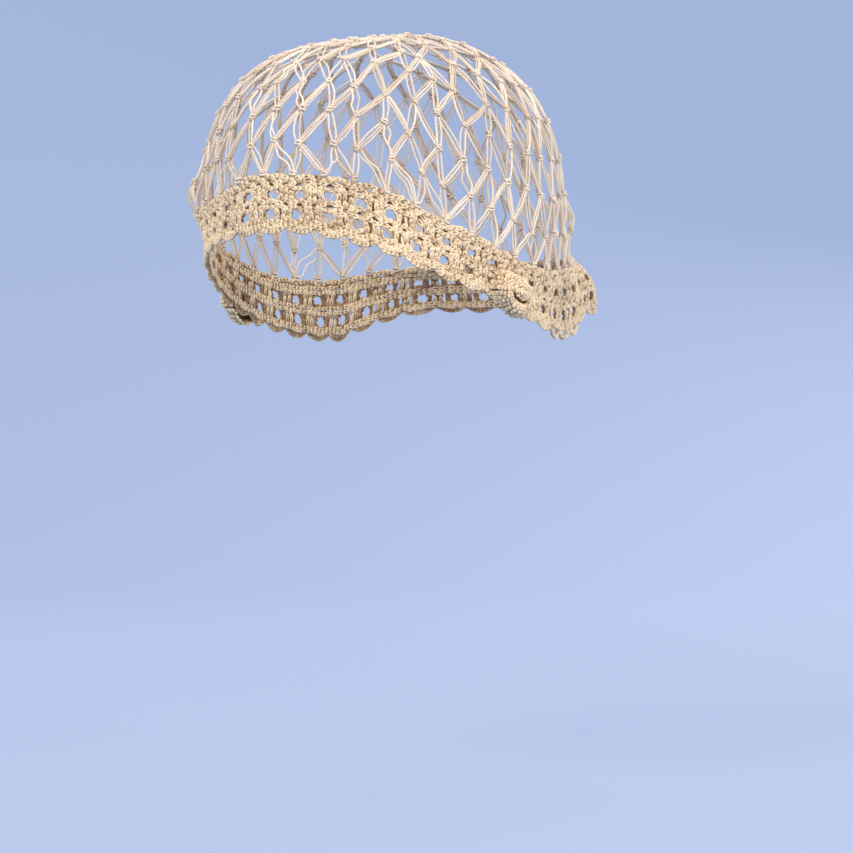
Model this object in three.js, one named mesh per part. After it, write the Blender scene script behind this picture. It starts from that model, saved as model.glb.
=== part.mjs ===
// Boudoir cap: an open crown of knotted cotton net on a crocheted lace band, in the form it takes when worn.
// Millimetres, +Z up, -Y the front, +X the wearer's left. The origin is the middle of the head opening,
// level with the lower edge of the band at the forehead. An angle round the cap starts at the front and
// grows towards the wearer's left. A level is 0 along the top of the band, 1 at the crown's middle and
// -1 along the lower edge of the band.

import * as THREE from "three";

// Head form that the cap is stretched over, with a slight swell on top
const halfWidth = 76;
const halfLength = 95.5;
const crownHeight = 91;
const straightSideTop = 2;
const domeRoundness = 2.85;
const apexBack = 6;
const swell = { height: 4, across: 14, back: 12, spread: 28 };

// Course of the lace band: heights of its lower edge and top, and how far each stands off the head form.
// It dips over the right temple, drops behind the ears and flares out over the nape.
const bandCourse = [
  { angle: -180, rim: -27, top: -5, rimOut: 12, topOut: 5 },
  { angle: -165, rim: -27.5, top: -5, rimOut: 15, topOut: 6 },
  { angle: -150, rim: -27.5, top: -5.5, rimOut: 18, topOut: 7.5 },
  { angle: -135, rim: -34, top: -9, rimOut: 9.5, topOut: 4 },
  { angle: -120, rim: -42.5, top: -13, rimOut: 1, topOut: 1 },
  { angle: -105, rim: -40.5, top: -14, rimOut: 0, topOut: 0.5 },
  { angle: -90, rim: -35, top: -10.5, rimOut: -0.5, topOut: 0 },
  { angle: -75, rim: -26.5, top: -3.5, rimOut: -1, topOut: 0 },
  { angle: -60, rim: -17.5, top: 3.5, rimOut: -2, topOut: 0 },
  { angle: -45, rim: -9.5, top: 9.5, rimOut: -3, topOut: 0 },
  { angle: -30, rim: -5.5, top: 13, rimOut: -3, topOut: 0 },
  { angle: -15, rim: -3, top: 17, rimOut: -1.5, topOut: 0 },
  { angle: 0, rim: -1.5, top: 23.5, rimOut: -1, topOut: 0 },
  { angle: 15, rim: -1, top: 23.5, rimOut: -1, topOut: 0 },
  { angle: 30, rim: -4.5, top: 22, rimOut: -1, topOut: 0 },
  { angle: 45, rim: -10.5, top: 15.5, rimOut: -1, topOut: 0 },
  { angle: 60, rim: -19.5, top: 5, rimOut: -1, topOut: 0 },
  { angle: 75, rim: -26.5, top: -3.5, rimOut: -1, topOut: 0 },
  { angle: 90, rim: -35, top: -11.5, rimOut: -0.5, topOut: 0 },
  { angle: 105, rim: -41, top: -14.5, rimOut: 0, topOut: 0.5 },
  { angle: 120, rim: -43, top: -12.5, rimOut: 1, topOut: 1 },
  { angle: 135, rim: -34, top: -9, rimOut: 9.5, topOut: 4 },
  { angle: 150, rim: -27.5, top: -5.5, rimOut: 18, topOut: 7.5 },
  { angle: 165, rim: -27.5, top: -5, rimOut: 15, topOut: 6 },
];

// Ruffle of the lower edge over the nape
const ruffle = { depth: 2.6, waves: 12, start: 112, full: 145 };

// Puckers of the fabric over the right temple and behind the left ear
const puckers = [
  { angle: -45, spread: 10, height: 20, reach: 8, out: 5.5 },
  { angle: 130, spread: 10, height: 11, reach: 8, out: 4 },
];

// How sharply the band flares below its top, and the height over which the net settles above it
const flareSharpness = 3;
const settleHeight = 11;

// Net: knots round the cap at each level, from the joining round to the start ring
const netRows = [
  { level: 0, knots: 26 },
  { level: 0.18, knots: 26 },
  { level: 0.37, knots: 20 },
  { level: 0.56, knots: 14 },
  { level: 0.75, knots: 8 },
  { level: 0.93, knots: 4 },
];
const leanPerRow = 0.45;
const startHoleLevel = 0.97;
const netThickness = 2;
const linkHalfWidth = 1.6;
const edgeHalfWidth = 0.5;
const knotRadius = 3.3;
const linkSteps = 2;
const hemSteps = 3;
const ringSteps = 3;

// Lace band: depths as shares of its height
const hemDepth = 0.12;
const pieceGap = 0.014;
const edgingDepth = 0.87;
const bandThickness = 2.4;
const bandSteps = 3;
const eyelets = 26;
const scallops = 41;
const eyeletDiameter = 4.9;
const eyeletDepths = [0.38, 0.7];
const scallopShares = [0, 0.8, 1, 0.8];
const valleyDepth = 0.915;

// Rosettes over the ears
const rosetteAngle = 84;
const rosetteDepth = 0.76;
const rosetteGap = 0.3;
const rosetteSectors = 24;
const rosetteRings = [
  { radius: 1.9, rise: 6.8, lobes: 0, lobeDepth: 0 },
  { radius: 3.4, rise: 6.1, lobes: 3, lobeDepth: 0.08 },
  { radius: 4.3, rise: 3.9, lobes: 3, lobeDepth: 0.08 },
  { radius: 6.2, rise: 5.6, lobes: 4, lobeDepth: 0.1 },
  { radius: 7.2, rise: 3.1, lobes: 4, lobeDepth: 0.1 },
  { radius: 9, rise: 4.2, lobes: 5, lobeDepth: 0.09 },
  { radius: 10.1, rise: 2.6, lobes: 5, lobeDepth: 0.09 },
  { radius: 9.6, rise: 0, lobes: 5, lobeDepth: 0.09 },
];
const budHollow = 5.6;

const fullTurn = 2 * Math.PI;
const radians = THREE.MathUtils.degToRad;
const lerp = THREE.MathUtils.lerp;
const wrap = THREE.MathUtils.euclideanModulo;

// Signed difference between two angles, at most half a turn
function apart(angle, other) {
  return Math.atan2(Math.sin(angle - other), Math.cos(angle - other));
}

// Course of the band at any angle, a smooth curve through the table
function courseAt(angle) {
  const count = bandCourse.length;
  const place = (wrap(angle + Math.PI, fullTurn) / fullTurn) * count;
  const index = Math.floor(place);
  const share = place - index;
  const rows = [-1, 0, 1, 2].map((offset) => bandCourse[(index + offset + count) % count]);
  const course = {};
  for (const column of ["rim", "top", "rimOut", "topOut"]) {
    const [before, from, to, after] = rows.map((row) => row[column]);
    const startSlope = (to - before) / 2;
    const endSlope = (after - from) / 2;
    const bend = 3 * (to - from) - 2 * startSlope - endSlope;
    const twist = 2 * (from - to) + startSlope + endSlope;
    course[column] = from + share * (startSlope + share * (bend + share * twist));
  }
  const fromFront = Math.abs(apart(angle, 0));
  const ruffled = THREE.MathUtils.smoothstep(fromFront, radians(ruffle.start), radians(ruffle.full));
  course.rimOut += ruffled * ruffle.depth * Math.cos(ruffle.waves * angle);
  return course;
}

// Point of the head form: rise 0 is the top of its straight side, a quarter turn its crown's middle
function formPoint(angle, rise, out) {
  const domeHeight = crownHeight - straightSideTop;
  const bend = Math.max(0, rise);
  const scale = Math.cos(bend) ** (2 / domeRoundness);
  const share = rise < 0 ? rise : Math.sin(bend) ** (2 / domeRoundness);
  const height = straightSideTop + domeHeight * share;
  const across = Math.sin(angle);
  const ahead = Math.cos(angle);
  const away = new THREE.Vector2(across / halfWidth, -ahead / halfLength).normalize();
  const x = halfWidth * scale * across;
  const y = -halfLength * scale * ahead + apexBack * (1 - scale);
  const fromSwell = Math.hypot(x - swell.across, y - swell.back) / swell.spread;
  const lift = swell.height * Math.exp(-(fromSwell ** 2));
  let stand = out;
  for (const pucker of puckers) {
    const beside = apart(angle, radians(pucker.angle)) / radians(pucker.spread);
    const over = (height - pucker.height) / pucker.reach;
    stand += pucker.out * Math.exp(-(beside ** 2) - over ** 2);
  }
  return new THREE.Vector3(x + stand * away.x, y + stand * away.y, height + lift);
}

// The rise that has a given height on the head form
function riseAt(height) {
  const share = (height - straightSideTop) / (crownHeight - straightSideTop);
  return share < 0 ? share : Math.asin(Math.min(1, share) ** (domeRoundness / 2));
}

// Lengths along the head form from the band's top to the crown's middle
const meridianSteps = 160;
const meridians = new Map();
function meridianAt(angle) {
  const name = angle.toFixed(7);
  if (!meridians.has(name)) {
    const start = riseAt(courseAt(angle).top);
    const rises = [start];
    const lengths = [0];
    let last = formPoint(angle, start, 0);
    for (let step = 1; step <= meridianSteps; step += 1) {
      const share = 1 - (1 - step / meridianSteps) ** 2;
      const rise = start + (Math.PI / 2 - start) * share;
      const next = formPoint(angle, Math.min(rise, Math.PI / 2), 0);
      rises.push(rise);
      lengths.push(lengths[step - 1] + next.distanceTo(last));
      last = next;
    }
    meridians.set(name, { rises, lengths, length: lengths[meridianSteps] });
  }
  return meridians.get(name);
}

// The step of a rising list that holds a value, and the value's share of that step
function placeIn(list, value) {
  let step = 0;
  while (step < list.length - 2 && list[step + 1] < value) {
    step += 1;
  }
  return { step, share: (value - list[step]) / (list[step + 1] - list[step]) };
}

// Middle of the fabric at an angle and level
function skinPoint(angle, level) {
  const course = courseAt(angle);
  if (level < 0) {
    const height = lerp(course.top, course.rim, -level);
    const flare = 1 - (1 + level) ** flareSharpness;
    const out = lerp(course.topOut, course.rimOut, flare);
    return formPoint(angle, riseAt(height), out);
  }
  const meridian = meridianAt(angle);
  const along = Math.min(level, 1) * meridian.length;
  const { step, share } = placeIn(meridian.lengths, along);
  const rise = lerp(meridian.rises[step], meridian.rises[step + 1], share);
  return formPoint(angle, Math.min(rise, Math.PI / 2), course.topOut * Math.exp(-along / settleHeight));
}

// Outward direction of the fabric at an angle and level
function skinNormal(angle, level) {
  const reach = 0.004;
  const round = skinPoint(angle + reach, level).sub(skinPoint(angle - reach, level));
  const upper = Math.min(level + reach, 1);
  const up = skinPoint(angle, upper).sub(skinPoint(angle, level - reach));
  return round.cross(up).normalize();
}

// Angles at equal lengths round the head opening, for shares of a whole turn
const turnSteps = 1440;
const turnLengths = [0];
for (let step = 1; step <= turnSteps; step += 1) {
  const middle = ((step - 0.5) / turnSteps) * fullTurn;
  const pace = Math.hypot(halfWidth * Math.cos(middle), halfLength * Math.sin(middle));
  turnLengths.push(turnLengths[step - 1] + (pace * fullTurn) / turnSteps);
}

function angleAt(turn) {
  const whole = Math.floor(turn);
  const { step, share } = placeIn(turnLengths, (turn - whole) * turnLengths[turnSteps]);
  return (whole + (step + share) / turnSteps) * fullTurn;
}

// Sheet of triangles on the skin, which becomes a solid wall
class Sheet {
  constructor() {
    this.points = [];
    this.triangles = [];
    this.names = new Map();
  }

  point(name, angle, level) {
    if (!this.names.has(name)) {
      this.names.set(name, this.points.length);
      this.points.push({ angle, level });
    }
    return this.names.get(name);
  }

  quad(first, second, third, fourth) {
    this.triangles.push([first, second, third], [first, third, fourth]);
  }

  // Joins a closed outline to the rim of the gap inside it, both listed anticlockwise from outside
  frame(outline, gap) {
    outline.forEach((corner, index) => {
      const next = (index + 1) % outline.length;
      this.quad(corner, outline[next], gap[next], gap[index]);
    });
  }

  // Outer and inner faces at half the thickness to each side, and a wall along every free edge
  solid(thickness) {
    const faces = [[], []];
    for (const { angle, level } of this.points) {
      const middle = skinPoint(angle, level);
      const offset = skinNormal(angle, level).multiplyScalar(thickness / 2);
      faces[0].push(middle.clone().add(offset));
      faces[1].push(middle.clone().sub(offset));
    }
    const corners = [];
    const edges = new Set();
    for (const [a, b, c] of this.triangles) {
      corners.push(faces[0][a], faces[0][b], faces[0][c], faces[1][a], faces[1][c], faces[1][b]);
      edges.add(`${a} ${b}`).add(`${b} ${c}`).add(`${c} ${a}`);
    }
    for (const edge of edges) {
      const [a, b] = edge.split(" ").map(Number);
      if (!edges.has(`${b} ${a}`)) {
        corners.push(faces[0][b], faces[0][a], faces[1][a], faces[0][b], faces[1][a], faces[1][b]);
      }
    }
    return new THREE.BufferGeometry().setFromPoints(corners);
  }
}

// Millimetres across and up the skin near an angle, for laying out gaps, and the way back
function layoutAt(middle) {
  const reach = 0.01;
  const pace = (level) =>
    skinPoint(middle + reach, level).distanceTo(skinPoint(middle - reach, level)) / (2 * reach);
  const course = courseAt(middle);
  const height = (level) => (level < 0 ? course.top - course.rim : meridianAt(middle).length);
  return {
    lay: ({ angle, level }) => new THREE.Vector2((angle - middle) * pace(level), level * height(level)),
    place: (spot) => {
      const level = spot.y / height(spot.y);
      return { angle: middle + spot.x / pace(level), level };
    },
  };
}

// The outline moved inwards by each edge's half width, and by the knot's radius at a knot
function insetOutline(outline) {
  const spots = outline.map((corner) => corner.spot);
  return outline.map((corner, index) => {
    const before = (index + outline.length - 1) % outline.length;
    const after = (index + 1) % outline.length;
    const inward = [
      [spots[before], spots[index], outline[before].halfWidth],
      [spots[index], spots[after], corner.halfWidth],
    ].map(([from, to, width]) => {
      const along = to.clone().sub(from).normalize();
      return { normal: new THREE.Vector2(-along.y, along.x), width };
    });
    const [first, second] = inward;
    const turn = first.normal.cross(second.normal);
    let offset = first.normal.clone().add(second.normal).normalize().multiplyScalar(first.width);
    if (Math.abs(turn) > 0.3) {
      offset = new THREE.Vector2(
        (first.width * second.normal.y - second.width * first.normal.y) / turn,
        (second.width * first.normal.x - first.width * second.normal.x) / turn
      );
    }
    if (corner.knot && offset.length() < knotRadius) {
      offset.setLength(knotRadius);
    }
    return spots[index].clone().add(offset);
  });
}

// Knots of the net with the links between rows: each pair of neighbours in a row has one knot above
// and one below between them, so the gaps are diamonds
function netKnots() {
  const rows = netRows.map(({ level, knots }, index) => {
    const start = ((0.5 + leanPerRow) * index * knots) / netRows[0].knots;
    return { level, knots, index, turnOf: (knot) => (knot + start) / knots, above: [], below: [] };
  });
  for (let index = 0; index < rows.length - 1; index += 1) {
    const lower = rows[index];
    const upper = rows[index + 1];
    let low = 0;
    let high = Math.round((lower.turnOf(0) - upper.turnOf(0)) * upper.knots);
    for (let link = 0; link < lower.knots + upper.knots; link += 1) {
      const lowMiddle = (lower.turnOf(low) + lower.turnOf(low + 1)) / 2;
      const highMiddle = (upper.turnOf(high) + upper.turnOf(high + 1)) / 2;
      if (lowMiddle < highMiddle) {
        lower.above[low] = high;
        low += 1;
      } else {
        const turns = Math.floor(high / upper.knots);
        upper.below[high - turns * upper.knots] = low - turns * lower.knots;
        high += 1;
      }
    }
  }
  return rows;
}

// Name shared by all the outlines that meet at one point of the net
function netName(level, turn) {
  const places = 1e5;
  return `net ${level.toFixed(4)} ${Math.round(wrap(turn, 1) * places) % places}`;
}

// Points from one knot towards the next, the last one left out
function netRun(fromRow, from, toRow, to, steps, halfWidth) {
  const points = [];
  for (let step = 0; step < steps; step += 1) {
    const level = lerp(fromRow.level, toRow.level, step / steps);
    const turn = lerp(fromRow.turnOf(from), toRow.turnOf(to), step / steps);
    points.push({ name: netName(level, turn), angle: angleAt(turn), level, knot: step === 0, halfWidth });
  }
  return points;
}

// The outline between a knot and its next neighbour, anticlockwise from outside
function netOutline(rows, row, knot) {
  const next = knot + 1;
  const below = rows[row.index - 1];
  const above = rows[row.index + 1];
  const outline = [];
  if (below) {
    outline.push(...netRun(row, knot, below, row.below[knot], linkSteps, linkHalfWidth));
    outline.push(...netRun(below, row.below[knot], row, next, linkSteps, linkHalfWidth));
  } else {
    outline.push(...netRun(row, knot, row, next, hemSteps, edgeHalfWidth));
  }
  if (above) {
    outline.push(...netRun(row, next, above, row.above[knot], linkSteps, linkHalfWidth));
    outline.push(...netRun(above, row.above[knot], row, knot, linkSteps, linkHalfWidth));
  } else {
    outline.push(...netRun(row, next, row, knot, ringSteps, edgeHalfWidth));
  }
  return outline;
}

// A plain strip between a row of the net and another level
function addRound(sheet, row, steps, level) {
  const count = row.knots * steps;
  for (let index = 0; index < count; index += 1) {
    const [here, there] = [index, index + 1].map((place) => {
      const turn = row.turnOf(place / steps);
      return {
        row: sheet.point(netName(row.level, turn), angleAt(turn), row.level),
        edge: sheet.point(`edge ${level} ${place % count}`, angleAt(turn), level),
      };
    });
    if (level < row.level) {
      sheet.quad(here.edge, there.edge, there.row, here.row);
    } else {
      sheet.quad(here.row, there.row, there.edge, here.edge);
    }
  }
}

// Crown: the net's links round diamond gaps, the joining round below and the start ring above
function crownNet() {
  const sheet = new Sheet();
  const rows = netKnots();
  for (const row of rows) {
    for (let knot = 0; knot < row.knots; knot += 1) {
      const outline = netOutline(rows, row, knot);
      const { lay, place } = layoutAt(angleAt(row.turnOf(knot + 1 / 2)));
      const spots = insetOutline(outline.map((corner) => ({ ...corner, spot: lay(corner) })));
      const gap = spots.map((spot, index) => {
        const { angle, level } = place(spot);
        return sheet.point(`gap ${row.index} ${knot} ${index}`, angle, level);
      });
      sheet.frame(outline.map(({ name, angle, level }) => sheet.point(name, angle, level)), gap);
    }
  }
  addRound(sheet, rows[0], hemSteps, -hemDepth);
  addRound(sheet, rows[rows.length - 1], ringSteps, startHoleLevel);
  return sheet.solid(netThickness);
}

// Band: a stretch of lace for each eyelet, with the eyelets in two staggered rounds
function eyeletBand() {
  const sheet = new Sheet();
  const top = -(hemDepth + pieceGap);
  const bottom = -(edgingDepth - pieceGap);
  const middleLevel = (top + bottom) / 2;
  const places = eyelets * bandSteps;
  const corner = (place, level) =>
    sheet.point(`${level.toFixed(4)} ${place % places}`, angleAt(place / places), level);
  for (let eyelet = 0; eyelet < eyelets; eyelet += 1) {
    const left = bandSteps * eyelet;
    const right = left + bandSteps;
    const outline = [];
    for (let place = left; place < right; place += 1) {
      outline.push(corner(place, bottom));
    }
    outline.push(corner(right, bottom), corner(right, middleLevel));
    for (let place = right; place > left; place -= 1) {
      outline.push(corner(place, top));
    }
    outline.push(corner(left, top), corner(left, middleLevel));
    const middle = angleAt((left + right) / 2 / places);
    const { lay, place } = layoutAt(middle);
    const centre = lay({ angle: middle, level: -eyeletDepths[eyelet % eyeletDepths.length] });
    const gap = outline.map((_, index) => {
      const way = ((index - bandSteps / 2) / outline.length - 1 / 4) * fullTurn;
      const spot = new THREE.Vector2(Math.cos(way), Math.sin(way));
      const { angle, level } = place(spot.multiplyScalar(eyeletDiameter / 2).add(centre));
      return sheet.point(`eyelet ${eyelet} ${index}`, angle, level);
    });
    sheet.frame(outline, gap);
  }
  return sheet.solid(bandThickness);
}

// Edging: one scallop to each repeat
function shellEdging() {
  const sheet = new Sheet();
  const steps = scallopShares.length;
  const count = scallops * steps;
  for (let index = 0; index < count; index += 1) {
    const [left, right] = [index, index + 1].map((place) => {
      const angle = angleAt(place / count);
      const drop = lerp(valleyDepth, 1, scallopShares[place % steps]);
      return {
        top: sheet.point(`top ${place % count}`, angle, -(edgingDepth + pieceGap)),
        low: sheet.point(`low ${place % count}`, angle, -drop),
      };
    });
    sheet.quad(left.low, right.low, right.top, left.top);
  }
  return sheet.solid(bandThickness);
}

// Rosette: rings of petals round a bud, with a flat back
function rosette() {
  const corners = [];
  const ringPoint = (ring, sector) => {
    const way = (sector / rosetteSectors) * fullTurn;
    const radius = ring.radius * (1 + ring.lobeDepth * Math.cos(ring.lobes * way));
    return new THREE.Vector3(radius * Math.cos(way), radius * Math.sin(way), ring.rise);
  };
  const front = new THREE.Vector3(0, 0, budHollow);
  const back = new THREE.Vector3(0, 0, 0);
  const outer = rosetteRings[rosetteRings.length - 1];
  for (let sector = 0; sector < rosetteSectors; sector += 1) {
    corners.push(front, ringPoint(rosetteRings[0], sector), ringPoint(rosetteRings[0], sector + 1));
    for (let index = 1; index < rosetteRings.length; index += 1) {
      const [a, b] = [sector, sector + 1].map((place) => ringPoint(rosetteRings[index - 1], place));
      const [c, d] = [sector + 1, sector].map((place) => ringPoint(rosetteRings[index], place));
      corners.push(a, d, c, a, c, b);
    }
    corners.push(back, ringPoint(outer, sector + 1), ringPoint(outer, sector));
  }
  return new THREE.BufferGeometry().setFromPoints(corners);
}

function material(name, color, roughness) {
  const made = new THREE.MeshStandardMaterial({ color, roughness, metalness: 0 });
  made.name = name;
  return made;
}

function piece(name, geometry, finish) {
  geometry.computeVertexNormals();
  const mesh = new THREE.Mesh(geometry, finish);
  mesh.name = name;
  return mesh;
}

// A rosette turned to face away from the band, its back clear of the lace
function placedRosette(name, side, finish) {
  const angle = side * radians(rosetteAngle);
  const mesh = piece(name, rosette(), finish);
  const outward = skinNormal(angle, -rosetteDepth);
  const away = bandThickness / 2 + rosetteGap;
  mesh.quaternion.setFromUnitVectors(new THREE.Vector3(0, 0, 1), outward);
  mesh.position.copy(skinPoint(angle, -rosetteDepth).addScaledVector(outward, away));
  return mesh;
}

const cap = new THREE.Group();
cap.add(piece("crown_net", crownNet(), material("net thread", 0xdccba6, 0.85)));
cap.add(piece("eyelet_band", eyeletBand(), material("band thread", 0xd8c59c, 0.88)));
cap.add(piece("shell_edging", shellEdging(), material("edging thread", 0xd4c096, 0.88)));
cap.add(placedRosette("rosette_left", 1, material("left rosette thread", 0xd2bd92, 0.88)));
cap.add(placedRosette("rosette_right", -1, material("right rosette thread", 0xd2bd92, 0.88)));

export default cap;
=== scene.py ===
"""Boudoir cap in its worn form, built thread by thread: a crown of knotted net, a crocheted lace band with
two rounds of eyelets, a round of shells along its edge and a crocheted rose over each ear.

The form is in millimetres, +Z up, -Y the front, +X the wearer's left, and becomes metres when a mesh is made.
A turn is a share of the way round the cap, from the front towards the wearer's left, in equal lengths of the
head opening. A level is 0 along the top of the band, 1 at the crown's middle and -1 along the band's edge.
"""

import math

import bpy
import numpy as np
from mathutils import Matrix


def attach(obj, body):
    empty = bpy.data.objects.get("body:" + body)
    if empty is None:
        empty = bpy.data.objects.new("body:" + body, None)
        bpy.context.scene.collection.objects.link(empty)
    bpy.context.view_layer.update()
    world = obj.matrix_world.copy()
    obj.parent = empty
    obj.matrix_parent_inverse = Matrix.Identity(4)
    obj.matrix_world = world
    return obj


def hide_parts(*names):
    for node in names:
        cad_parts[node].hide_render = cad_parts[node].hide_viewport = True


MM = 0.001
TAU = 2 * math.pi

# Head form that the cap is stretched over, with a slight swell on top
HALF_WIDTH = 76
HALF_LENGTH = 95.5
CROWN_HEIGHT = 91
STRAIGHT_SIDE_TOP = 2
DOME_ROUNDNESS = 2.85
APEX_BACK = 6
SWELL = {"height": 4, "across": 14, "back": 12, "spread": 28}

# Course of the lace band every 15 degrees: angle, heights of its lower edge and of its top, and how far the
# edge and the top stand off the head form
BAND_COURSE = np.array([
    (-180, -27, -5, 12, 5),
    (-165, -27.5, -5, 15, 6),
    (-150, -27.5, -5.5, 18, 7.5),
    (-135, -34, -9, 9.5, 4),
    (-120, -42.5, -13, 1, 1),
    (-105, -40.5, -14, 0, 0.5),
    (-90, -35, -10.5, -0.5, 0),
    (-75, -26.5, -3.5, -1, 0),
    (-60, -17.5, 3.5, -2, 0),
    (-45, -9.5, 9.5, -3, 0),
    (-30, -5.5, 13, -3, 0),
    (-15, -3, 17, -1.5, 0),
    (0, -1.5, 23.5, -1, 0),
    (15, -1, 23.5, -1, 0),
    (30, -4.5, 22, -1, 0),
    (45, -10.5, 15.5, -1, 0),
    (60, -19.5, 5, -1, 0),
    (75, -26.5, -3.5, -1, 0),
    (90, -35, -11.5, -0.5, 0),
    (105, -41, -14.5, 0, 0.5),
    (120, -43, -12.5, 1, 1),
    (135, -34, -9, 9.5, 4),
    (150, -27.5, -5.5, 18, 7.5),
    (165, -27.5, -5, 15, 6),
])
RUFFLE = {"depth": 2.6, "waves": 12, "start": 112, "full": 145}
PUCKERS = [
    {"angle": -45, "spread": 10, "height": 20, "reach": 8, "out": 5.5},
    {"angle": 130, "spread": 10, "height": 11, "reach": 8, "out": 4},
]
FLARE_SHARPNESS = 3
SETTLE_HEIGHT = 11

# Thread: its radius in the net and in the lace, the faces round it in front and in a hidden layer, and the
# length in which its plies turn once
NET_RADIUS = 0.48
LACE_RADIUS = 0.58
SIDES = 5
HIDDEN_SIDES = 4
PLY_TURN = 2.6

# Tone of a thread, 0 for the dark colour and 1 for the light: its middle and spread from thread to thread,
# and painted
# shade: its gain per millimetre outwards between two depths, so that low parts are painted darker, and its
# loss on a hidden layer's side towards the front, painted shade between the layers
TONE = 0.65
TONE_SPREAD = 0.13
DEPTH_SHADE = 0.55
SHADED_DEPTHS = (-1.6, 1)
LAYER_SHADE = 0.8
# Mesh attribute with each thread's tone, its painted shade included
TONE_NAME = "tone_and_shade"
UV_NAME = "thread"

# Net: level, number of knots and turn of the first knot of each row, from the band's top to the start ring
NET_ROWS = [
    (0.006, 39, 0.0100),
    (0.108, 41, -0.0068),
    (0.216, 41, -0.0120),
    (0.328, 39, 0.0055),
    (0.445, 33, 0.0055),
    (0.56, 30, -0.0097),
    (0.67, 23, -0.0039),
    (0.78, 16, -0.0075),
    (0.88, 10, -0.0100),
    (0.95, 6, 0.0000),
]
# How far knots stray, and the share of it in the first row, which the lace holds
KNOT_UNEVEN = {"round": 1.2, "up": 0.9, "first_row": 0.3}
# A knot is a trefoil with wraps across it, in millimetres times a size of its own, up to a highest level
KNOT = {"own_size": (0.95, 1.2), "spin": 0.6, "radius": 0.95, "lobe": 0.42, "tall": 1.1, "thick": 0.7}
KNOT_LIFT = 0.15
WRAP = {"places": (-0.6, 0.5), "tilt": 0.5, "half_width": 1.3, "thick": 1.05}
HIGHEST_KNOT = 0.97

# Links between knots: a taut one leans round by more than this share of a turn, the others hang. Their bow
# and the distance of their strands from the middle are in millimetres, and a share of them curls
LINK_STEPS = 10
TAUT_LEAN = 0.009
TAUT = {"bow": 0.3, "spread": (0.5, 0.8), "curled": 0.02}
HANGING = {"bow": 0.75, "spread": (0.55, 1.15), "curled": 0.05, "curled_low": 0.3, "third_strand": 0.15}
LOW_ROWS = 2
CURL_WIDTH = (0.6, 1.3)
STRAIGHT_WIDTH = 0.14
STRAND_LEAN = 0.35
STRAND_GAP = 0.35

# Strands gathered behind the left ear: degrees from the front, levels of their bundle and feet, how many they
# are, how far the outer feet are from the middle, and the wraps round the bundle
GATHER = {"angle": 101, "bundle": 0.086, "foot": -0.05, "strands": 6, "half_width": 7}
GATHER_WRAP = {"places": (-0.5, 0.5), "half_width": 1.2, "thick": 1.1, "tilt": 0.3}

# Ring at the crown's middle: its strands, the levels between them and their waves
START_RING = {"steps": 48, "strands": 3, "apart": 0.004, "wave": 0.001, "lift": 0.5}

# Lace: repeats round the cap, stitches in a repeat, and as shares of a repeat the turn of the first eyelet
# and how uneven the stitches are
REPEATS = 41
STITCHES = 6
REPEAT_START = 0.76
STITCH_UNEVEN = 0.012

# A crocheted loop: start and length as shares of a stitch, breadth at the start and its gain on the way as
# shares of its width, depth at the start and rise in millimetres
LOOP = {"start": -0.1, "length": 1.38, "slim": 0.62, "fuller": 0.5, "depth": -0.42, "rise": 0.95}

# Braids along the lace: level, and how far every third stitch is pulled up or down to leave a slit
BRAIDS = {
    "upper": [(-0.136, 0.055), (-0.21, -0.032)],
    "middle": [(-0.476, 0.055), (-0.554, -0.032)],
    "lower": [(-0.82, 0.03), (-0.874, -0.012)],
}
# How far braids stand off the middle of the fabric, in front and in the hidden layer
BRAID_OFF = (0.4, -0.62)
ARCH_OFF = (0.35, -0.55)
SHELL_OFF = {"outer": 0.3, "inner": 0.45, "hidden": -0.5}

# Upright stitches: half breadth of their loops, and how unevenly they lean, stray, slant and stand out
UPRIGHT = {"width": 0.66, "lean": 0.45, "stray": 0.17, "slant": 0.3, "out": 0.13, "along": 0.05}
# Two bare strands in place of an upright stitch
TWISTED = {"half_width": 0.6, "thick": 0.5, "twist": (0.5, 0.8)}

# Eyelets: radius, level of each round and its shift as a share of a repeat. The upright stitches between them
# reach past their rims, stand aside and bow away. Some are bare strands, and two hidden ones stand behind
EYELET_RADIUS = 2.6
EYELET_LEVELS = {"upper": -0.345, "lower": -0.685}
EYELET_SHIFT = {"upper": 0.0, "lower": -0.1}
BETWEEN = {"past": 0.9, "aside": 1.15, "bow": 0.7, "bare": 0.3, "stray": 0.5, "out": 0.42, "behind": 1.3}
# Rims of an eyelet, in front and hidden: how far off the middle of the fabric and outside the opening
RIMS = {"front": (0.5, 0.45), "hidden": (-0.5, 0.5)}
RIM_STITCH = 0.14

# The looser lace behind the left ear, between these degrees from the front: radius of its eyelets, how many
# times wider than high they are, and how much further aside the stitches stand
LOOSE = {"from": 104, "to": 152, "radius": 3.0, "wider": 1.25, "aside": 0.95}

# Arches along the band's top: levels of their feet and crowns, of the stitch up to each knot, and of the two
# short stitches under each arch, with their places as shares of it
ARCH = {"foot": -0.1, "crown": -0.022, "uneven": (0.8, 1.2)}
KNOT_STITCH = {"low": -0.15, "high": -0.005}
SHORT_STITCH = {"low": -0.155, "high": -0.05, "places": (0.36, 0.64)}

# Shells along the band's edge: levels of their tips and feet, half breadths of their arcs as shares of a
# repeat, and how much longer they are in loose and in tight lace
SHELL_LEVELS = (-0.995, -0.85)
SHELL_HALF = {"outer": 0.485, "inner": 0.3}
SHELL_UNEVEN = {"loose": (1.15, 1.45), "tight": (0.92, 1.1)}

# Roses over the ears, a small gap off the band
ROSE_ANGLE = 84
ROSE_LEVEL = -0.76
BAND_HALF_THICKNESS = 1.2
ROSE_GAP = 0.3
ROSE_STRETCH = (1.14, 0.87)
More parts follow.
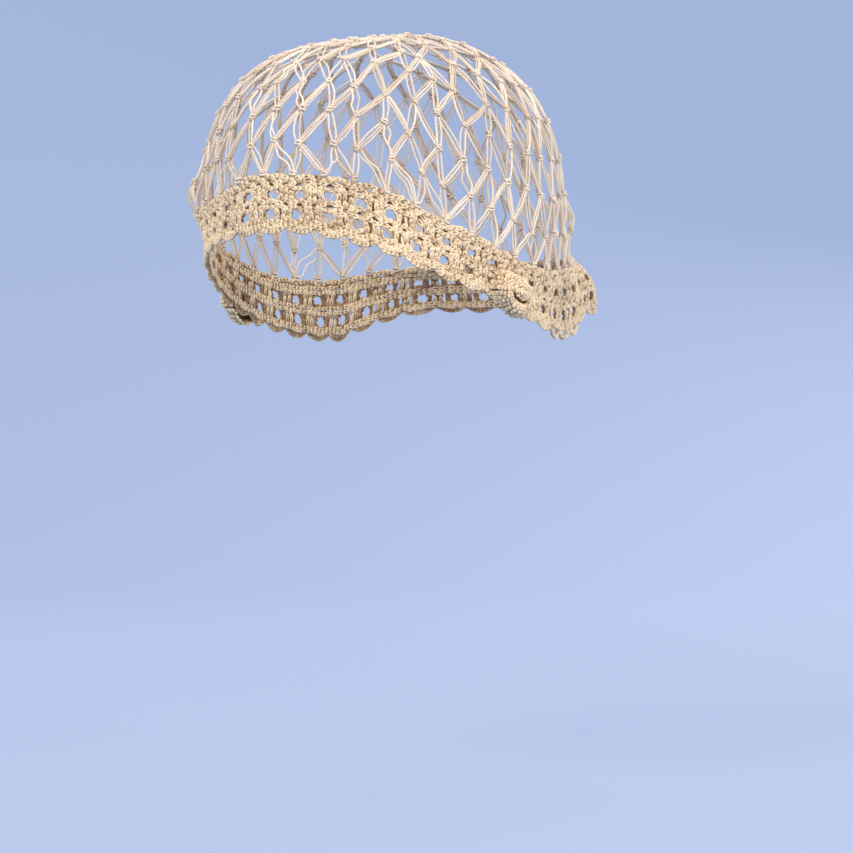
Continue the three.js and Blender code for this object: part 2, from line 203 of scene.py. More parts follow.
# Rings of puffed lobes between two angles in degrees, in upright stitches that run from an inner to an outer
# radius and rise over an arch. The inner ring is open below, where a groove runs under the bud
ROSE_RINGS = [
    {"lobes": 5, "from": 20, "to": 380, "ribs": 31, "loops": 7,
     "radii": (5.3, 10.4), "rises": (3.6, 0.3), "arch": 3.6},
    {"lobes": 4, "from": -25, "to": 188, "ribs": 12, "loops": 4,
     "radii": (2.9, 6.8), "rises": (5.6, 3.6), "arch": 1.9},
]
# Coils: the floor between the lobes and the bud, and the chain of the bud, stretched and moved up a little
COIL_START = 0.3
# The floor's low depth paints it dark, as painted shade in the recess under the lobes and the bud
ROSE_FLOOR = {"radius": 6.5, "top": 4.4, "foot": 3.6, "turns": 5.6, "depth": -0.8}
ROSE_BUD = {"radius": 2.4, "top": 7.7, "foot": 6.1, "turns": 2.0, "loops": 13, "splay": 0.9}
BUD_STRETCH = {"wide": 1.28, "high": 0.8, "below": -0.1}
ROSE_STITCH = 0.6
# The small knot beside each rose on the band's edge
ROSE_KNOT = {"aside": 10.5, "level": -1.0}

# Cotton of the pieces: light colour, the dark colour that painted shade, the tone from thread to thread and
# the soft patches mix towards, and roughness
COTTON = {
    "net": {"light": (0.82, 0.69, 0.54), "dark": (0.36, 0.225, 0.12), "roughness": 0.72},
    "band": {"light": (0.87, 0.675, 0.425), "dark": (0.26, 0.125, 0.045), "roughness": 0.8},
    "edging": {"light": (0.86, 0.665, 0.42), "dark": (0.26, 0.125, 0.045), "roughness": 0.8},
    "rose": {"light": (0.88, 0.69, 0.44), "dark": (0.3, 0.15, 0.06), "roughness": 0.8},
}
SEEDS = {"net": 11, "band": 23, "edging": 37, "rose_left": 41, "rose_right": 43}

# Camera, as seen in the photograph: how far round, how far away, and its place beside and below the origin
VIEW_ANGLE = 36
VIEW_DISTANCE = 1.3
VIEW_ASIDE = 0.01909
VIEW_HEIGHT = -0.0845
IMAGE_WIDTH = 853
PIXEL_AT_OBJECT = 0.00046
SENSOR_WIDTH = 36

# Backdrop in metres: a round floor that bends up into a wall
FLOOR_HEIGHT = -0.26
FLOOR_RADIUS = 1.6
BEND_RADIUS = 0.9
BEND_STEPS = 12
WALL_TOP = 3.2
SECTORS = 96
BACKDROP_COLOR = (0.18, 0.205, 0.25)
BACKDROP_GLOW = (0.44, 0.57, 0.90)

# Lamps: place and breadth in metres, power in watts and colour
LIGHT_AIM = (0, 0, 0.03)
LAMPS = {
    "key": {"place": (0.3, -1.95, 1.45), "size": 0.6, "power": 39, "color": (1, 0.94, 0.86)},
    "fill": {"place": (2.0, -0.2, 0.8), "size": 0.9, "power": 31, "color": (1, 0.95, 0.87)},
    "side": {"place": (-1.8, -0.2, 0.7), "size": 1.2, "power": 14, "color": (1, 0.96, 0.9)},
    "back": {"place": (-0.5, 1.95, 0.9), "size": 1.2, "power": 22, "color": (1, 0.95, 0.88)},
    "top": {"place": (0.1, 0.3, 1.9), "size": 1.0, "power": 8, "color": (1, 0.95, 0.88)},
}


def apart(angle, other):
    """Signed difference between two angles, at most half a turn."""
    return np.arctan2(np.sin(angle - other), np.cos(angle - other))


def placed(name, data):
    """A new object in the scene."""
    made = bpy.data.objects.new(name, data)
    bpy.context.scene.collection.objects.link(made)
    return made


def set_inputs(node, values):
    for socket, value in values.items():
        node.inputs[socket].default_value = value


def unit(vectors):
    return vectors / np.maximum(np.linalg.norm(vectors, axis=-1, keepdims=True), 1e-12)


def full_circle(steps):
    """Angles at equal steps once round."""
    return np.arange(steps) / steps * TAU


def course_at(angle):
    """Rim, top, and how far each stands off, on a smooth curve through the table of the band's course."""
    count = len(BAND_COURSE)
    place = np.mod(angle + math.pi, TAU) / TAU * count
    index = np.floor(place).astype(int)
    share = (place - index)[..., None]
    before, start, end, after = (BAND_COURSE[(index + step) % count, 1:] for step in (-1, 0, 1, 2))
    start_slope = (end - before) / 2
    end_slope = (after - start) / 2
    bend = 3 * (end - start) - 2 * start_slope - end_slope
    twist = 2 * (start - end) + start_slope + end_slope
    course = start + share * (start_slope + share * (bend + share * twist))
    rim, top, rim_out, top_out = np.moveaxis(course, -1, 0)
    from_front = np.degrees(np.abs(apart(angle, 0)))
    ruffled = np.clip((from_front - RUFFLE["start"]) / (RUFFLE["full"] - RUFFLE["start"]), 0, 1)
    ruffled = ruffled * ruffled * (3 - 2 * ruffled)
    rim_out = rim_out + ruffled * RUFFLE["depth"] * np.cos(RUFFLE["waves"] * angle)
    return rim, top, rim_out, top_out


def form_point(angle, rise, out):
    """Point of the head form: rise 0 is the top of its straight side, a quarter turn its crown's middle."""
    bend = np.maximum(0, rise)
    scale = np.maximum(np.cos(bend), 0) ** (2 / DOME_ROUNDNESS)
    share = np.where(rise < 0, rise, np.sin(bend) ** (2 / DOME_ROUNDNESS))
    height = STRAIGHT_SIDE_TOP + (CROWN_HEIGHT - STRAIGHT_SIDE_TOP) * share
    across = np.sin(angle)
    ahead = np.cos(angle)
    x = HALF_WIDTH * scale * across
    y = -HALF_LENGTH * scale * ahead + APEX_BACK * (1 - scale)
    from_swell = np.hypot(x - SWELL["across"], y - SWELL["back"]) / SWELL["spread"]
    lift = SWELL["height"] * np.exp(-(from_swell**2))
    stand = out
    for pucker in PUCKERS:
        beside = apart(angle, math.radians(pucker["angle"])) / math.radians(pucker["spread"])
        over = (height - pucker["height"]) / pucker["reach"]
        stand = stand + pucker["out"] * np.exp(-(beside**2) - over**2)
    away = unit(np.stack([across / HALF_WIDTH, -ahead / HALF_LENGTH], -1))
    return np.stack([x + stand * away[..., 0], y + stand * away[..., 1], height + lift], -1)


def rise_at(height):
    """The rise that has a given height on the head form."""
    share = (height - STRAIGHT_SIDE_TOP) / (CROWN_HEIGHT - STRAIGHT_SIDE_TOP)
    return np.where(share < 0, share, np.arcsin(np.clip(share, 0, 1) ** (DOME_ROUNDNESS / 2)))


class Meridians:
    """Rise at equal lengths up the crown, worked out once for a grid of angles and levels."""

    def __init__(self, angles=721, levels=201, steps=241):
        self.angles = np.linspace(0, TAU, angles)
        self.levels = np.linspace(0, 1, levels)
        start = rise_at(course_at(self.angles)[1])[:, None]
        share = 1 - (1 - np.linspace(0, 1, steps)) ** 2
        rises = start + (math.pi / 2 - start) * share
        points = form_point(self.angles[:, None] + 0 * rises, np.minimum(rises, math.pi / 2), 0.0)
        hops = np.linalg.norm(np.diff(points, axis=1), axis=-1)
        lengths = np.concatenate([np.zeros((angles, 1)), np.cumsum(hops, axis=1)], axis=1)
        rows = zip(lengths, rises)
        self.rises = np.array([np.interp(self.levels * length[-1], length, rise) for length, rise in rows])
        self.length = lengths[:, -1]

    def length_at(self, angle):
        return np.interp(np.mod(angle, TAU), self.angles, self.length)

    def rise_at(self, angle, level):
        column = np.mod(angle, TAU) / TAU * (len(self.angles) - 1)
        row = np.clip(level, 0, 1) * (len(self.levels) - 1)
        left = np.clip(column.astype(int), 0, len(self.angles) - 2)
        low = np.clip(row.astype(int), 0, len(self.levels) - 2)
        along = column - left
        above = row - low
        lower = (1 - along) * self.rises[left, low] + along * self.rises[left + 1, low]
        upper = (1 - along) * self.rises[left, low + 1] + along * self.rises[left + 1, low + 1]
        return (1 - above) * lower + above * upper


MERIDIANS = Meridians()


def skin_point(angle, level):
    """Middle of the fabric at an angle and level."""
    angle, level = np.broadcast_arrays(np.asarray(angle, float), np.asarray(level, float))
    rim, top, rim_out, top_out = course_at(angle)
    below = np.minimum(level, 0)
    height = top - (rim - top) * below
    flare = 1 - np.abs(1 + below) ** FLARE_SHARPNESS * np.sign(1 + below)
    out_below = top_out + (rim_out - top_out) * flare
    along = np.clip(level, 0, 1) * MERIDIANS.length_at(angle)
    out_above = top_out * np.exp(-along / SETTLE_HEIGHT)
    rise = np.where(level < 0, rise_at(height), MERIDIANS.rise_at(angle, level))
    return form_point(angle, np.minimum(rise, math.pi / 2), np.where(level < 0, out_below, out_above))


def turn_table(steps=1440):
    """Lengths round the head opening up to each step of angle, as shares of the whole."""
    middle = (np.arange(steps) + 0.5) / steps * TAU
    pace = np.hypot(HALF_WIDTH * np.cos(middle), HALF_LENGTH * np.sin(middle))
    lengths = np.concatenate([[0], np.cumsum(pace)])
    return lengths / lengths[-1]


TURN_LENGTHS = turn_table()


def turn_at(angle):
    return np.interp(angle / TAU, np.linspace(0, 1, len(TURN_LENGTHS)), TURN_LENGTHS)


def angle_at(turn):
    whole = np.floor(turn)
    steps = np.linspace(0, 1, len(TURN_LENGTHS))
    return (whole + np.interp(turn - whole, TURN_LENGTHS, steps)) * TAU


class Fabric:
    """Places on the fabric, each with the lengths there of a whole turn and of a whole level."""

    TURN_REACH = 0.002
    LEVEL_REACH = 0.01

    def __init__(self, turns, levels):
        self.turns, self.levels = np.broadcast_arrays(np.asarray(turns, float), np.asarray(levels, float))
        self.turn_length = self._length(self.TURN_REACH, 0)
        self.level_length = self._length(0, self.LEVEL_REACH)

    def _length(self, round_reach, up_reach):
        ahead = skin_point(angle_at(self.turns + round_reach), self.levels + up_reach)
        behind = skin_point(angle_at(self.turns - round_reach), self.levels - up_reach)
        return np.linalg.norm(ahead - behind, axis=-1) / (2 * (round_reach + up_reach))

    def place(self, across, upward, outward):
        """Points some millimetres along and out of the fabric. Offsets have one more axis than the places."""
        turns = self.turns[..., None] + across / self.turn_length[..., None]
        levels = self.levels[..., None] + upward / self.level_length[..., None]
        return lifted(turns, levels, outward)

    def away(self):
        """The direction out of the fabric at each place."""
        return (self.place(0, 0, 1) - self.place(0, 0, 0))[..., 0, :]


def lifted(turns, levels, outward):
    """Points off the middle of the fabric."""
    turns, levels, outward = np.broadcast_arrays(turns, levels, outward)
    reach = 0.004
    angles = angle_at(turns)
    around = skin_point(angles + reach, levels) - skin_point(angles - reach, levels)
    up = skin_point(angles, np.minimum(levels + reach, 1)) - skin_point(angles, levels - reach)
    return skin_point(angles, levels) + outward[..., None] * unit(np.cross(around, up))


class Threads:
    """Thread tubes that end up in one mesh."""

    def __init__(self, radius):
        self.radius = radius
        self.points = []
        self.corners = []
        self.sizes = []
        self.uvs = []
        self.tones = []
        self.count = 0

    def add(self, paths, rng, closed=False, depth=0.0, sides=SIDES, away=None):
        """Adds a tube along each path: paths has the axes path, step and coordinate.

        Threads are painted darker where their depth out of the fabric is low, as painted shade. Paths of a
        hidden layer each have a direction away from the front layer, and are painted darker on the side
        towards it, as painted shade between the layers.
        """
        paths = np.asarray(paths, float)
        paths = paths.reshape(-1, *paths.shape[-2:])
        count, steps, _ = paths.shape
        if not count:
            return
        ahead, across = thread_frames(paths, closed)
        beside = np.cross(ahead, across)
        turn = full_circle(sides)
        ring = np.cos(turn)[:, None] * across[:, :, None] + np.sin(turn)[:, None] * beside[:, :, None]
        self.points.append((paths[:, :, None] + self.radius * ring).reshape(-1, 3))
        # Painted shade: threads go darker where they lie low in the fabric
        shade = DEPTH_SHADE * np.broadcast_to(np.clip(depth, *SHADED_DEPTHS), (count, steps))
        tone_and_shade = TONE + rng.normal(0, TONE_SPREAD, (count, 1)) + shade
        tone_and_shade = np.repeat(tone_and_shade[..., None], sides, axis=-1)
        # Painted shade between layers: a hidden thread darkens on its side towards the front layer
        if away is not None:
            tone_and_shade = tone_and_shade - LAYER_SHADE * np.clip(-(ring * away[:, None, None]).sum(-1), 0, 1)
        self.tones.append(tone_and_shade.ravel())
        self._walls(paths, closed, sides)
        if not closed:
            self._ends(count, steps, sides)
        self.count += count * steps * sides

    def _walls(self, paths, closed, sides):
        count, steps, _ = paths.shape
        spans = steps if closed else steps - 1
        first = (np.arange(count) * steps * sides)[:, None, None] + self.count
        here = np.arange(spans)[None, :, None]
        there = (here + 1) % steps
        side = np.arange(sides)[None, None]
        other = (side + 1) % sides
        quads = [first + here * sides + side, first + here * sides + other]
        quads += [first + there * sides + other, first + there * sides + side]
        self.corners.append(np.stack(np.broadcast_arrays(*quads), -1).reshape(-1))
        self.sizes.append(np.full(count * spans * sides, 4))
        hops = np.linalg.norm(np.diff(paths, axis=1, append=paths[:, :1]), axis=-1)
        length = np.concatenate([np.zeros((count, 1)), np.cumsum(hops, axis=1)], axis=1)[..., None] / PLY_TURN
        near = length[:, :spans] + 0 * side
        far = length[:, 1 : spans + 1] + 0 * side
        left = side / sides + 0 * near
        right = (side + 1) / sides + 0 * near
        uv = [near, left, near, right, far, right, far, left]
        self.uvs.append(np.stack(uv, -1).reshape(-1, 2))

    def _ends(self, count, steps, sides):
        first = (np.arange(count) * steps * sides)[:, None] + self.count
        start = first + np.arange(sides)[::-1]
        end = first + (steps - 1) * sides + np.arange(sides)
        self.corners.append(np.stack([start, end], 1).reshape(-1))
        self.sizes.append(np.full(2 * count, sides))
        self.uvs.append(np.zeros((2 * count * sides, 2)))

    def build(self, name, finish):
        """The mesh object in metres."""
        mesh = bpy.data.meshes.new(name)
        points = np.concatenate(self.points) * MM
        corners = np.concatenate(self.corners)
        sizes = np.concatenate(self.sizes)
        mesh.vertices.add(len(points))
        mesh.vertices.foreach_set("co", points.astype(np.float32).ravel())
        mesh.loops.add(len(corners))
        mesh.loops.foreach_set("vertex_index", corners.astype(np.int32))
        mesh.polygons.add(len(sizes))
        mesh.polygons.foreach_set("loop_start", np.concatenate([[0], np.cumsum(sizes)[:-1]]).astype(np.int32))
        mesh.update(calc_edges=True)
        mesh.polygons.foreach_set("use_smooth", np.ones(len(sizes), bool))
        layer = mesh.uv_layers.new(name=UV_NAME)
        layer.data.foreach_set("uv", np.concatenate(self.uvs).astype(np.float32).ravel())
        tone_and_shade = mesh.attributes.new(TONE_NAME, "FLOAT", "POINT")
        tone_and_shade.data.foreach_set("value", np.concatenate(self.tones).astype(np.float32))
        mesh.materials.append(finish)
        return placed(name, mesh)


def thread_frames(paths, closed):
    """Directions along each path, and across it with no twist, by double reflection."""
    if closed:
        ahead = unit(np.roll(paths, -1, axis=1) - np.roll(paths, 1, axis=1))
    else:
        ahead = unit(np.gradient(paths, axis=1))
    count, steps, _ = paths.shape
    guide = np.zeros((count, 3))
    guide[np.arange(count), np.abs(ahead[:, 0]).argmin(axis=1)] = 1
    across = np.empty_like(paths)
    across[:, 0] = unit(np.cross(ahead[:, 0], guide))
    for step in range(1, steps):
        across[:, step] = carried(paths, ahead, across[:, step - 1], step - 1, step)
    if closed:
        last = carried(paths, ahead, across[:, -1], steps - 1, 0)
        beside = np.cross(ahead[:, 0], across[:, 0])
        slip = np.arctan2((last * beside).sum(-1), (last * across[:, 0]).sum(-1))
        undo = -slip[:, None] * np.arange(steps) / steps
        turned = np.cross(ahead, across)
        across = np.cos(undo)[..., None] * across + np.sin(undo)[..., None] * turned
    return ahead, across


def carried(paths, ahead, across, here, there):
    """The across direction taken from one step of the paths to another."""
    hop = paths[:, there] - paths[:, here]
    size = np.maximum((hop * hop).sum(-1, keepdims=True), 1e-12)
    mirrored = across - 2 / size * (hop * across).sum(-1, keepdims=True) * hop
    ahead_mirrored = ahead[:, here] - 2 / size * (hop * ahead[:, here]).sum(-1, keepdims=True) * hop
    turn = ahead[:, there] - ahead_mirrored
    size = np.maximum((turn * turn).sum(-1, keepdims=True), 1e-12)
    return mirrored - 2 / size * (turn * mirrored).sum(-1, keepdims=True) * turn


def repeat_turn(place):
    """The turn of a place counted in repeats of the lace."""
    return (np.asarray(place, float) + REPEAT_START) / REPEATS


def net_rows(rng):
    """Turns and levels of the knots in each row of the net, a little uneven as handwork is."""
    rows = []
    for index, (level, knots, first) in enumerate(NET_ROWS):
        held = KNOT_UNEVEN["first_row"] if index == 0 else 1
        place = Fabric(first + np.arange(knots) / knots, level)
        aside = rng.normal(0, KNOT_UNEVEN["round"] * held, knots) / place.turn_length
        above = rng.normal(0, KNOT_UNEVEN["up"] * held, knots) / place.level_length
        rows.append((place.turns + aside, level + above))
    return rows


def zigzag(lower, upper):
    """Pairs of knots joined by a link between two rows, stepping along whichever row lags behind."""

    def at(turns, index):
        return turns[index % len(turns)] + index // len(turns)

    pairs = []
    low = 0
    high = round((lower[0] - upper[0]) * len(upper))
    for _ in range(len(lower) + len(upper)):
        pairs.append((at(lower, low), low % len(lower), at(upper, high), high % len(upper)))
        if at(lower, low) + at(lower, low + 1) < at(upper, high) + at(upper, high + 1):
            low += 1
        else:
            high += 1
    return pairs


def net_links(rows):
    """Turn and level of both ends of every link, and its row."""
    ends = []
    for row, ((lower, lower_levels), (upper, upper_levels)) in enumerate(zip(rows, rows[1:])):
        for low_turn, low, high_turn, high in zigzag(lower, upper):
            ends.append((low_turn, lower_levels[low], high_turn, upper_levels[high], row))
    return np.array(ends)


def add_links(threads, ends, rng):
    """A link is a drawn-out loop: taut ones and some others have a return thread between its strands."""
    count = len(ends)
    each = (count, 1)
    low_turn, low_level, high_turn, high_level, row = (column[:, None] for column in ends.T)
    taut = high_turn - low_turn > TAUT_LEAN
    share = np.linspace(0.02, 0.98, LINK_STEPS)
    swell = np.sin(np.pi * share) ** 0.7
    slim = np.sin(np.pi * share) ** 0.35
    place = Fabric(low_turn, low_level)
    across = (high_turn - low_turn) * place.turn_length
    upward = (high_level - low_level) * place.level_length
    length = np.hypot(across, upward)
    bow = np.where(taut, rng.normal(0, TAUT["bow"], each), rng.normal(0, HANGING["bow"], each))
    spread = np.where(taut, rng.uniform(*TAUT["spread"], each), rng.uniform(*HANGING["spread"], each))
    often = np.where(row < LOW_ROWS, HANGING["curled_low"], HANGING["curled"])
    curled = rng.random(each) < np.where(taut, TAUT["curled"], often)
    slack = np.where(curled, rng.uniform(*CURL_WIDTH, each), STRAIGHT_WIDTH)
    lean = rng.uniform(-STRAND_LEAN, STRAND_LEAN, each)
    for strand in (-1, 0, 1):
        beside = strand if strand else rng.uniform(-0.3, 0.3, each)
        waves = rng.uniform(0.8, 1.8, each)
        start = rng.uniform(0, TAU, each)
        wave = slack * (np.sin(TAU * waves * share + start) - np.sin(start)) * swell
        aside = spread * beside * np.where(taut, slim, swell) + STRAND_GAP * strand + bow * swell + wave
        lift = lean * strand * swell + 0.3 * (strand == 0) + 0.4 * slack * swell
        turns = low_turn + (high_turn - low_turn) * share
        levels = low_level + (high_level - low_level) * share
        turns = turns + aside * (upward / length) / Fabric(turns, levels).turn_length
        levels = levels + aside * (-across / length) / place.level_length
        chosen = np.ones(count, bool)
        if strand == 0:
            chosen = taut[:, 0] | (rng.random(count) < HANGING["third_strand"])
        # Painted shade: strands that lie lower are painted darker
        threads.add(lifted(turns, levels, lift)[chosen], rng, depth=0.15 + lift[chosen] * 0.6)


def add_knots(threads, turns, levels, rng):
    """Each knot is a small trefoil of thread drawn tight, with two wraps across it."""
    count = len(turns)
    place = Fabric(turns, np.minimum(levels, HIGHEST_KNOT))
    size = rng.uniform(*KNOT["own_size"], (count, 1))
    spin = rng.uniform(-KNOT["spin"], KNOT["spin"], (count, 1))
    way = full_circle(26)
    radius = KNOT["radius"] + KNOT["lobe"] * np.cos(3 * way)
    across = size * radius * np.cos(2 * way)
    upward = size * KNOT["tall"] * radius * np.sin(2 * way)
    outward = size * KNOT["thick"] * np.sin(3 * way) + KNOT_LIFT
    spun_across = across * np.cos(spin) - upward * np.sin(spin)
    spun_upward = across * np.sin(spin) + upward * np.cos(spin)
    trefoils = place.place(spun_across, spun_upward, outward)
    # Painted shade: knots are painted darker, most where they lie close to the fabric
    threads.add(trefoils, rng, closed=True, depth=0.7 * np.abs(outward) - 0.5)
    way = full_circle(11)
    for offset in WRAP["places"]:
        tilt = rng.uniform(-WRAP["tilt"], WRAP["tilt"], (count, 1))
        across = WRAP["half_width"] * size * np.cos(way)
        upward = offset * size + tilt * across
        outward = WRAP["thick"] * size * np.sin(way) + KNOT_LIFT
        # Painted shade: the wraps are painted darker where they lie close to the fabric
        threads.add(place.place(across, upward, outward), rng, closed=True, depth=0.6 * np.abs(outward) - 0.3)


def gathered_strands(threads, knots, rng):
    """Behind the left ear the net's threads are bound in a small bundle and fan out down to the lace."""
    turn = knots[np.abs(apart(angle_at(knots), math.radians(GATHER["angle"]))).argmin()]
    spot = Fabric(np.array([turn]), GATHER["bundle"])
    each = (GATHER["strands"], 1)
    share = np.linspace(0, 1, 9)
    foot = np.linspace(-GATHER["half_width"], GATHER["half_width"], GATHER["strands"])[:, None]
    foot = foot + rng.normal(0, 0.4, each)
    across = foot * share**1.3 + 0.8 * np.sin(TAU * share + rng.uniform(0, TAU, each)) * share * (1 - share)
    levels = GATHER["bundle"] + (GATHER["foot"] - GATHER["bundle"]) * share
    threads.add(lifted(turn + across / spot.turn_length, levels, 0.4 * np.cos(foot)), rng)
    way = full_circle(12)
    for offset in GATHER_WRAP["places"]:
        across = GATHER_WRAP["half_width"] * np.cos(way)
        upward = offset + GATHER_WRAP["tilt"] * np.sin(way)
        threads.add(spot.place(across, upward, GATHER_WRAP["thick"] * np.sin(way)), rng, closed=True)


def start_ring(threads, rng):
    """The ring of thread at the crown's middle that the net was begun on."""
    turns = np.arange(START_RING["steps"]) / START_RING["steps"]
    for strand in range(START_RING["strands"]):
        wave = START_RING["wave"] * np.sin(5 * TAU * turns + strand)
        level = NET_ROWS[-1][0] + START_RING["apart"] * strand + wave
        lift = START_RING["lift"] * np.sin(7 * TAU * turns + 2 * strand)
        threads.add(lifted(turns, level, lift)[None], rng, closed=True)


def loop_shape(steps, width, rng, count):
    """A drop-shaped loop: its share forward, its breadth to the sides and its height out of the fabric."""
    way = full_circle(steps)
    forward = (1 - np.cos(way)) / 2
    size = rng.uniform(0.92, 1.1, (count, 1))
    breadth = width * size * np.sin(way) * (LOOP["slim"] + LOOP["fuller"] * forward)
    height = LOOP["depth"] + LOOP["rise"] * forward + rng.normal(0, 0.06, (count, 1))
    return (LOOP["start"] + LOOP["length"] * forward) * size, breadth, height


def loop_depth(height):
    """What a loop's height counts as in its shade, so that its low parts go dark."""
    return 1.7 * height - 0.35


def chain(threads, middle, out, rng, width=0.7, closed=False, facing=1, shown=None):
    """Drop-shaped loops along lines of points, each lying in the one before, as on a crocheted edge."""
    if closed:
        hop = np.roll(middle, -1, axis=-2) - middle
    else:
        hop = middle[..., 1:, :] - middle[..., :-1, :]
        middle, out = middle[..., :-1, :], out[..., :-1, :]
    middle, out, hop = (part.reshape(-1, 3) for part in (middle, out, hop))
    along = unit(hop)
    up = unit(np.cross(facing * out, along))
    out = np.cross(along, up)
    count = len(middle)
    steps, sides = (12, SIDES) if facing > 0 else (8, HIDDEN_SIDES)
    forward, y, z = loop_shape(steps, width, rng, count)
    x = np.linalg.norm(hop, axis=-1)[:, None] * forward
    y = y + rng.normal(0, 0.1, (count, 1)) * x
    axes = ((x, along), (y, up), (z, out))
    paths = middle[:, None] + sum(part[..., None] * axis[:, None] for part, axis in axes)
    shown = slice(None) if shown is None else shown
    # Painted shade: low parts of loops go darker, and hidden loops darken on their side towards the front
    # layer
    away = out[shown] if facing < 0 else None
    threads.add(paths[shown], rng, closed=True, depth=loop_depth(z)[shown], sides=sides, away=away)


def braid(threads, turns, levels, outward, rng, closed=True, facing=1, shown=None):
    """A chain that lies on the fabric."""
    middle = lifted(turns, levels, outward)
    out = lifted(turns, levels, 1.0) - lifted(turns, levels, 0.0)
    chain(threads, middle, out, rng, closed=closed, facing=facing, shown=shown)


def is_loose(turns):
    """Where the lace is looser, behind the left ear."""
    from_front = np.degrees(apart(angle_at(np.asarray(turns)), 0))
    return (from_front > LOOSE["from"]) & (from_front < LOOSE["to"])


def round_of_braid(threads, level, pull, rng):
    """A braid all round, every third stitch pulled aside, and a hidden one where the lace is tight."""
    count = REPEATS * STITCHES
    places = np.arange(count) / STITCHES + rng.normal(0, STITCH_UNEVEN, count)
    pulled = (np.arange(count) % 3 == 0) * rng.uniform(0.6, 1.2, count)
    aside = pull * pulled + rng.normal(0, 0.004, count)
    turns = repeat_turn(places)
    front, hidden = BRAID_OFF
    braid(threads, turns, level + aside, front, rng)
    braid(threads, turns, level + 0.2 * aside, hidden, rng, facing=-1, shown=~is_loose(turns))


def columns(threads, turns, low, high, rng, loops=3, bow=0.0, facing=1, outward=0.3):
    """Upright stitches side by side, each a short uneven chain of loops, bowed by some millimetres."""
    count = len(turns)
    if not count:
        return
    each = (count, 1)
    place = Fabric(turns, (low + high) / 2)
    height = (high - low) * place.level_length[:, None]
    steps, sides, away = (10, SIDES, None) if facing > 0 else (8, HIDDEN_SIDES, -place.away())
    lean = rng.normal(0, UPRIGHT["lean"], each)
    for loop in range(loops):
        forward, breadth, out = loop_shape(steps, UPRIGHT["width"], rng, count)
        share = (loop + forward) / loops + rng.normal(0, UPRIGHT["along"], each)
        across = breadth + lean * (share - 0.5) + bow * (1 - np.sin(np.pi * np.clip(share, 0, 1)))
        stray = rng.normal(0, UPRIGHT["stray"], each)
        across = across + stray + rng.normal(0, UPRIGHT["slant"], each) * (forward - 0.5)
        out = out + rng.normal(0, UPRIGHT["out"], each)
        paths = place.place(across, height * (share - 0.5), facing * (out + outward))
        # Painted shade: low parts of loops go darker, and hidden stitches darken on their side towards the
        # front layer
        threads.add(paths, rng, closed=True, depth=loop_depth(out), sides=sides, away=away)


def strand_pairs(threads, turns, low, high, rng):
    """Bare upright stitches of two loosely twisted strands."""
    count = len(turns)
    if not count:
        return
    share = np.linspace(0, 1, 9)
    place = Fabric(turns, (low + high) / 2)
    height = (share - 0.5) * (high - low) * place.level_length[:, None]
    twist = TAU * rng.uniform(*TWISTED["twist"], (count, 1)) * share + rng.uniform(0, TAU, (count, 1))
    for strand in (0, math.pi):
        across = TWISTED["half_width"] * np.cos(twist + strand)
        outward = TWISTED["thick"] * np.sin(twist + strand)
        # Painted shade: the strand that lies behind is painted darker
        threads.add(place.place(across, height, outward), rng, depth=outward)


def eyelet_round(threads, middle, shift, rng):
    """A round of eyelets with their rims, and the upright stitches between them."""
    repeat = np.arange(REPEATS) + shift
    place = Fabric(repeat_turn(repeat), middle)
    loose = is_loose(place.turns)
    stitches_between(threads, place, repeat, middle, loose, rng)
    rims(threads, place, loose, rng)


def stitches_between(threads, place, repeat, middle, loose, rng):
    """Three upright stitches between two eyelets and two hidden ones, or just two where it is loose."""
    pitch = place.turn_length / REPEATS
    reach = (EYELET_RADIUS + BETWEEN["past"]) / place.level_length.mean()
    low, high = middle - reach, middle + reach

    def between(offset, chosen):
        return repeat_turn(repeat + offset / pitch + rng.normal(0, STITCH_UNEVEN, REPEATS))[chosen]

    aside = EYELET_RADIUS + LACE_RADIUS + BETWEEN["aside"] + LOOSE["aside"] * loose
    bare = rng.random(REPEATS) < BETWEEN["bare"]
    halfway = pitch / 2 + rng.uniform(-BETWEEN["stray"], BETWEEN["stray"], REPEATS)
    everywhere = np.ones(REPEATS, bool)
    columns(threads, between(aside, everywhere), low, high, rng, bow=-BETWEEN["bow"])
    columns(threads, between(halfway, ~bare & ~loose), low, high, rng, outward=BETWEEN["out"])
    strand_pairs(threads, between(halfway, bare & ~loose), low, high, rng)
    columns(threads, between(pitch - aside, everywhere), low, high, rng, bow=BETWEEN["bow"])
    for offset in (-BETWEEN["behind"], BETWEEN["behind"]):
        turns = between(pitch / 2 + offset, ~loose)
        columns(threads, turns, low, high, rng, loops=2, facing=-1, outward=0.5)


def rims(threads, place, loose, rng):
    """An uneven ring of thread round each eyelet, and a hidden one behind it."""
    way = full_circle(24)
    size = np.where(loose, LOOSE["radius"], EYELET_RADIUS)[:, None]
    wider = np.where(loose, LOOSE["wider"], 1)[:, None]
    skew = rng.normal(0, 0.2, (2, REPEATS, 1))
    turned = rng.uniform(0, TAU, (2, REPEATS, 1))
    shape = 1 + 0.06 * np.cos(2 * way + turned[0]) + 0.05 * np.cos(3 * way + turned[1])
    for layer, sides, away in (("front", SIDES, None), ("hidden", HIDDEN_SIDES, -place.away())):
        off, outside = RIMS[layer]
        stitches = RIM_STITCH * np.cos(8 * way + rng.uniform(0, TAU, (REPEATS, 1)))
        radius = (size + outside) * shape + stitches
        across = radius * wider * np.cos(way) + skew[0]
        upward = radius * np.sin(way) + skew[1]
        outward = off + 2.2 * stitches
        paths = place.place(across, upward, outward)
        # Painted shade: the hidden rim is painted darker, most on its side towards the front layer
        threads.add(paths, rng, closed=True, depth=outward - 0.5, sides=sides, away=away)


